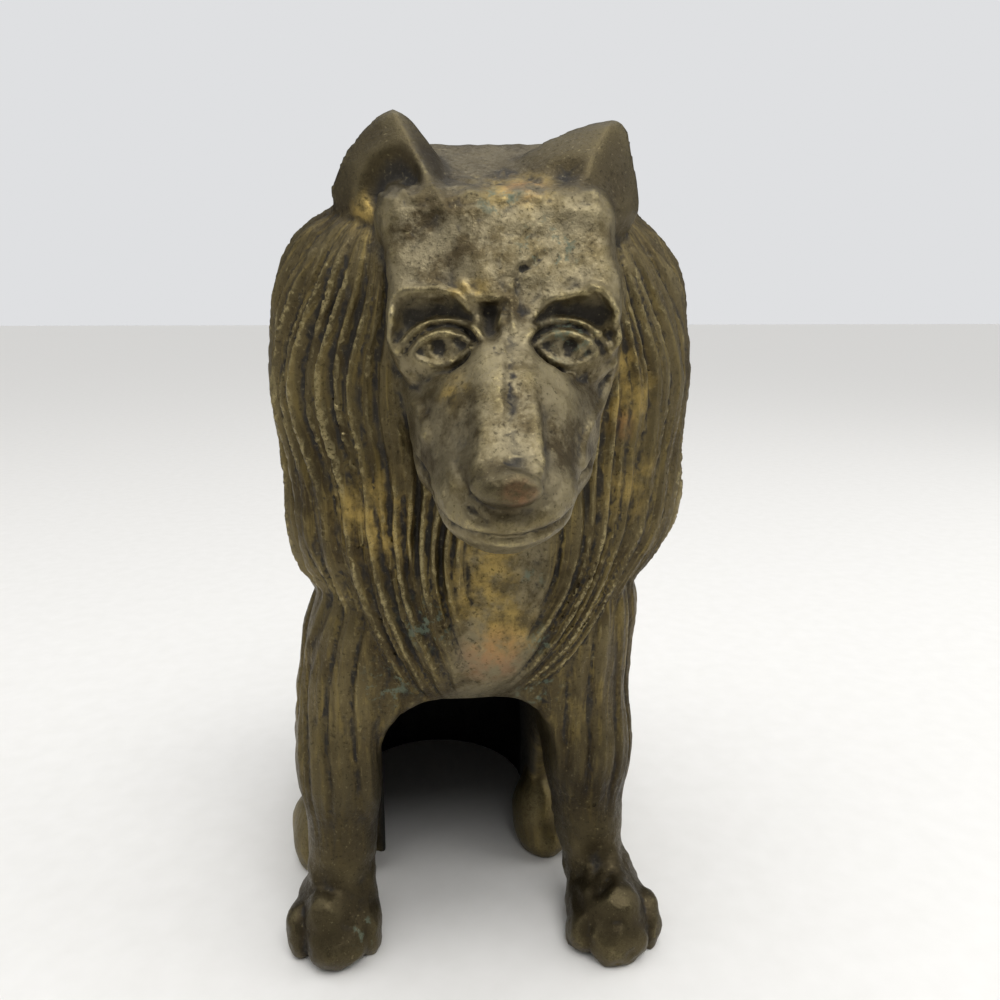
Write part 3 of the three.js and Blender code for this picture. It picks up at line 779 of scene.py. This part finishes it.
def write_values(piece):
    """Stores what the material reads: how hollow the surface is, the patina's places, where shade is painted and
    the hair's run.
    """
    mesh = piece.data
    count = len(mesh.vertices)
    co = np.empty(3 * count)
    mesh.vertices.foreach_get("co", co)
    normals = np.empty(3 * count)
    mesh.vertex_normals.foreach_get("vector", normals)
    normals = normals.reshape(-1, 3)
    points = to_pose(co.reshape(-1, 3))
    ends = connections(mesh)
    flow, nearest, names = strands(points)
    on_body = ramp(16, 24, points[:, 2]) * (1 - 0.5 * ramp(88, 91, points[:, 2]))
    for name, values in {
        "groove": hollowness(points, normals, ends, 1, 0.1),
        "hollow": hollowness(points, normals, ends, 10, 0.4),
        "gold": patches(points, GOLD),
        "copper": patches(points, COPPER),
        "green": patches(points, GREEN),
        "shade": patches(points, SHADE),
        "bare": bareness(points, nearest, names, ends, ["face", "ear"]),
        "mask": bareness(points, nearest, names, ends, ["face"]) * on_body,
        "core_shade": core_shade(points),
    }.items():
        mesh.attributes.new(name, "FLOAT", "POINT").data.foreach_set("value", values)
    mesh.attributes.new("strand", "FLOAT_VECTOR", "POINT").data.foreach_set("vector", flow.ravel())


# The material

class Graph:
    """Short calls for the nodes of one material."""

    def __init__(self, name):
        self.material = bpy.data.materials.new(name)
        self.material.use_nodes = True
        self.tree = self.material.node_tree
        self.shader = self.tree.nodes["Principled BSDF"]

    def node(self, kind, inputs=(), **settings):
        made = self.tree.nodes.new(kind)
        for key, value in settings.items():
            setattr(made, key, value)
        for key, value in dict(inputs).items():
            if isinstance(value, bpy.types.NodeSocket):
                self.tree.links.new(value, made.inputs[key])
            else:
                made.inputs[key].default_value = value
        return made

    def value(self, name):
        return self.node("ShaderNodeAttribute", attribute_name=name).outputs["Fac"]

    def vector(self, name):
        return self.node("ShaderNodeAttribute", attribute_name=name).outputs["Vector"]

    def place(self):
        return self.node("ShaderNodeTexCoord").outputs["Object"]

    def noise(self, vector, scale, detail=2.0, roughness=0.5):
        inputs = {"Vector": vector, "Scale": scale, "Detail": detail, "Roughness": roughness}
        return self.node("ShaderNodeTexNoise", inputs).outputs["Fac"]

    def pits(self, vector, scale):
        inputs = {"Vector": vector, "Scale": scale, "Randomness": 1.0}
        return self.node("ShaderNodeTexVoronoi", inputs).outputs["Distance"]

    def ramp(self, value, start, end, low=0.0, high=1.0):
        inputs = {"Value": value, "From Min": start, "From Max": end, "To Min": low, "To Max": high}
        return self.node("ShaderNodeMapRange", inputs, interpolation_type="SMOOTHSTEP").outputs["Result"]

    def math(self, operation, a, b=0.0):
        return self.node("ShaderNodeMath", {0: a, 1: b}, operation=operation).outputs["Value"]

    def mix(self, factor, a, b):
        made = self.node("ShaderNodeMix", data_type="RGBA")
        for socket, value in zip((made.inputs[0], made.inputs[6], made.inputs[7]), (factor, a, b)):
            if isinstance(value, bpy.types.NodeSocket):
                self.tree.links.new(value, socket)
            else:
                socket.default_value = value
        return made.outputs[2]

    def times(self, a, b):
        return self.math("MULTIPLY", a, b)

    def less(self, a, b):
        return self.math("SUBTRACT", a, b)

    def tint(self, base, factor, strength, tone):
        """The base with a tone over it, as far as the factor times the strength goes."""
        return self.mix(self.times(factor, strength), base, colour(*tone))

    def bump(self, height, strength, distance, normal=None):
        inputs = {"Height": height, "Strength": strength, "Distance": distance}
        if normal is not None:
            inputs["Normal"] = normal
        return self.node("ShaderNodeBump", inputs).outputs["Normal"]

    def set(self, name, value):
        if isinstance(value, bpy.types.NodeSocket):
            self.tree.links.new(value, self.shader.inputs[name])
        else:
            self.shader.inputs[name].default_value = value


def colour(red, green, blue):
    """A colour given as it looks on a screen, from 0 to 255."""
    linear = [(v / 255 / 12.92) if v < 11 else ((v / 255 + 0.055) / 1.055) ** 2.4 for v in (red, green, blue)]
    return (*linear, 1.0)


# Tones of the patina as they look on a screen, from 0 to 255. The shaded tone and the black of the core space
# are painted shade, and the grooves' tone is grime with painted shade.
UMBER = (64, 54, 35)
BROWN = (96, 85, 58)
OLIVE = (124, 108, 64)
PEWTER = (132, 122, 96)
RUBBED = (170, 156, 112)
SHADED = (38, 32, 24)
BARE_BRASS = (178, 152, 86)
COPPERY = (150, 108, 78)
GRIME_AND_SHADE = (24, 20, 14)
PEPPER = (34, 29, 20)
DUST = (146, 134, 98)
VERDIGRIS = (98, 112, 92)
CORE_SHADOW_BLACK = (12, 10, 8)


def patina():
    """Aged brass: brown with lighter streaks along the hair, rubbed crests, and grime with painted shade in the
    grooves and hollows.
    """
    g = Graph("aged_brass")
    place = g.place()
    strand = g.vector("strand")
    broad = g.noise(place, 90.0, 3.0)
    speckle = g.noise(place, 2400.0, 4.0, 0.7)
    streak = g.noise(strand, 1.3, 3.0, 0.6)
    fine = g.noise(strand, 4.5, 2.0, 0.6)
    groove = g.value("groove")
    hollow = g.value("hollow")
    bare = g.value("bare")
    mask = g.value("mask")

    base = g.mix(g.ramp(broad, 0.35, 0.65), colour(*UMBER), colour(*BROWN))
    streaked = g.times(g.ramp(streak, 0.45, 0.75), g.less(1.0, bare))
    base = g.tint(base, streaked, 0.7, OLIVE)
    cloud = g.noise(place, 260.0, 5.0, 0.7)
    base = g.mix(g.times(mask, g.ramp(cloud, 0.38, 0.58, 0.04, 0.72)), base, colour(*PEWTER))
    crest = g.ramp(groove, -0.2, -1.0)
    swell = g.ramp(hollow, 0.0, -1.0)
    rub = g.times(g.math("MAXIMUM", crest, g.times(swell, 0.35)), g.ramp(speckle, 0.35, 0.6))
    base = g.tint(base, rub, 0.9, RUBBED)
    # Painted shade: the bare parts other than the face, and the shade places, are darkened towards the shaded
    # tone.
    bare_shade = g.times(g.less(bare, mask), 0.45)
    shade = g.math("MAXIMUM", bare_shade, g.times(g.value("shade"), 0.6))
    base = g.mix(shade, base, colour(*SHADED))
    worn = g.noise(place, 420.0, 4.0, 0.65)
    base = g.tint(base, g.times(g.value("gold"), g.ramp(worn, 0.35, 0.7)), 0.8, BARE_BRASS)
    base = g.tint(base, g.times(g.value("copper"), g.ramp(worn, 0.35, 0.65)), 0.6, COPPERY)
    # Grime and painted shade: grooves and broad hollows are darkened towards the grooves' tone.
    dark = g.math("MAXIMUM", g.ramp(groove, 0.04, 0.6), g.ramp(hollow, 0.15, 1.0))
    base = g.tint(base, dark, 0.9, GRIME_AND_SHADE)
    base = g.mix(g.ramp(speckle, 0.54, 0.7, 0.0, 0.6), base, colour(*PEPPER))
    base = g.mix(g.ramp(speckle, 0.42, 0.28, 0.0, 0.4), base, colour(*DUST))
    crust = g.noise(place, 900.0, 4.0, 0.7)
    green = g.times(g.value("green"), g.ramp(crust, 0.52, 0.64))
    base = g.tint(base, green, 0.65, VERDIGRIS)
    # Painted shade: the core space's walls are made nearly black.
    core_shade_here = g.value("core_shade")
    base = g.mix(core_shade_here, base, colour(*CORE_SHADOW_BLACK))
    g.set("Base Color", base)

    covered = g.math("MAXIMUM", g.math("MAXIMUM", green, core_shade_here), g.times(dark, 0.8))
    g.set("Metallic", g.less(0.88, g.times(covered, 0.8)))
    dull = g.math("ADD", g.ramp(speckle, 0.3, 0.7, 0.36, 0.58), g.times(covered, 0.3))
    g.set("Roughness", g.less(dull, g.times(rub, 0.06)))

    hairy = g.less(1.0, g.times(bare, 0.9))
    relief = g.times(g.math("ADD", streak, g.times(fine, 0.35)), hairy)
    hair = g.bump(relief, 0.35, 0.0003)
    grain = g.bump(speckle, 0.5, 0.00014, hair)
    pitted = g.bump(g.ramp(g.pits(place, 520.0), 0.04, 0.18), 0.25, 0.00016, grain)
    g.set("Normal", pitted)
    return g.material


# Floor, light and camera

def build_floor():
    mesh = bpy.data.meshes.new("floor")
    corners = [(x * FLOOR_HALF, y * FLOOR_HALF, 0) for x, y in ((-1, -1), (1, -1), (1, 1), (-1, 1))]
    mesh.from_pydata(corners, [], [(0, 1, 2, 3)])
    floor = bpy.data.objects.new("floor", mesh)
    bpy.context.scene.collection.objects.link(floor)
    g = Graph("pale_floor")
    paper = g.noise(g.place(), 300.0, 3.0)
    g.set("Base Color", g.mix(paper, colour(226, 224, 219), colour(234, 232, 228)))
    g.set("Roughness", 0.75)
    mesh.materials.append(g.material)


def add_light(name, at, aim, size, power):
    light = bpy.data.lights.new(name, "AREA")
    light.size = size
    light.energy = power
    lamp = bpy.data.objects.new(name, light)
    lamp.location = at
    lamp.rotation_euler = (Vector(aim) - Vector(at)).to_track_quat("-Z", "Y").to_euler()
    bpy.context.scene.collection.objects.link(lamp)


def brightness(tree):
    """Brightness of the room: a dome that is bright overhead, and an even, pale background for the camera."""
    direction = tree.nodes.new("ShaderNodeSeparateXYZ")
    tree.links.new(tree.nodes.new("ShaderNodeTexCoord").outputs["Generated"], direction.inputs["Vector"])
    dome = tree.nodes.new("ShaderNodeMapRange")
    dome.inputs["From Min"].default_value = DOME_FROM
    dome.inputs["From Max"].default_value = 1.0
    dome.inputs["To Min"].default_value = DOME_LOW
    dome.inputs["To Max"].default_value = DOME_HIGH
    tree.links.new(direction.outputs["Z"], dome.inputs["Value"])
    sight = tree.nodes.new("ShaderNodeLightPath").outputs["Is Camera Ray"]
    seen = tree.nodes.new("ShaderNodeMix")
    seen.inputs["B"].default_value = BACKGROUND
    tree.links.new(sight, seen.inputs["Factor"])
    tree.links.new(dome.outputs["Result"], seen.inputs["A"])
    return seen.outputs["Result"]


def light_stage():
    scene = bpy.context.scene
    world = bpy.data.worlds.new("room")
    world.use_nodes = True
    sky = world.node_tree.nodes["Background"]
    sky.inputs["Color"].default_value = (0.97, 0.98, 1.0, 1.0)
    world.node_tree.links.new(brightness(world.node_tree), sky.inputs["Strength"])
    scene.world = world
    scene.view_settings.view_transform = "Standard"
    for name, at, size, power in LIGHTS:
        add_light(name, at, AIM, size, power)


def place_camera():
    camera = bpy.data.cameras.new("camera")
    camera.lens = LENS
    camera.sensor_width = SENSOR
    camera.clip_start = 0.005
    eye = bpy.data.objects.new("camera", camera)
    eye.location = CAMERA_AT
    eye.rotation_euler = (math.radians(90 - CAMERA_DOWN), 0, math.radians(CAMERA_TURN))
    bpy.context.scene.collection.objects.link(eye)
    bpy.context.scene.camera = eye


def dress():
    piece = build_mesh()
    write_values(piece)
    piece.data.materials.clear()
    piece.data.materials.append(patina())
    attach(piece, "root")
    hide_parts("collie")


place_camera()
light_stage()
build_floor()
dress()
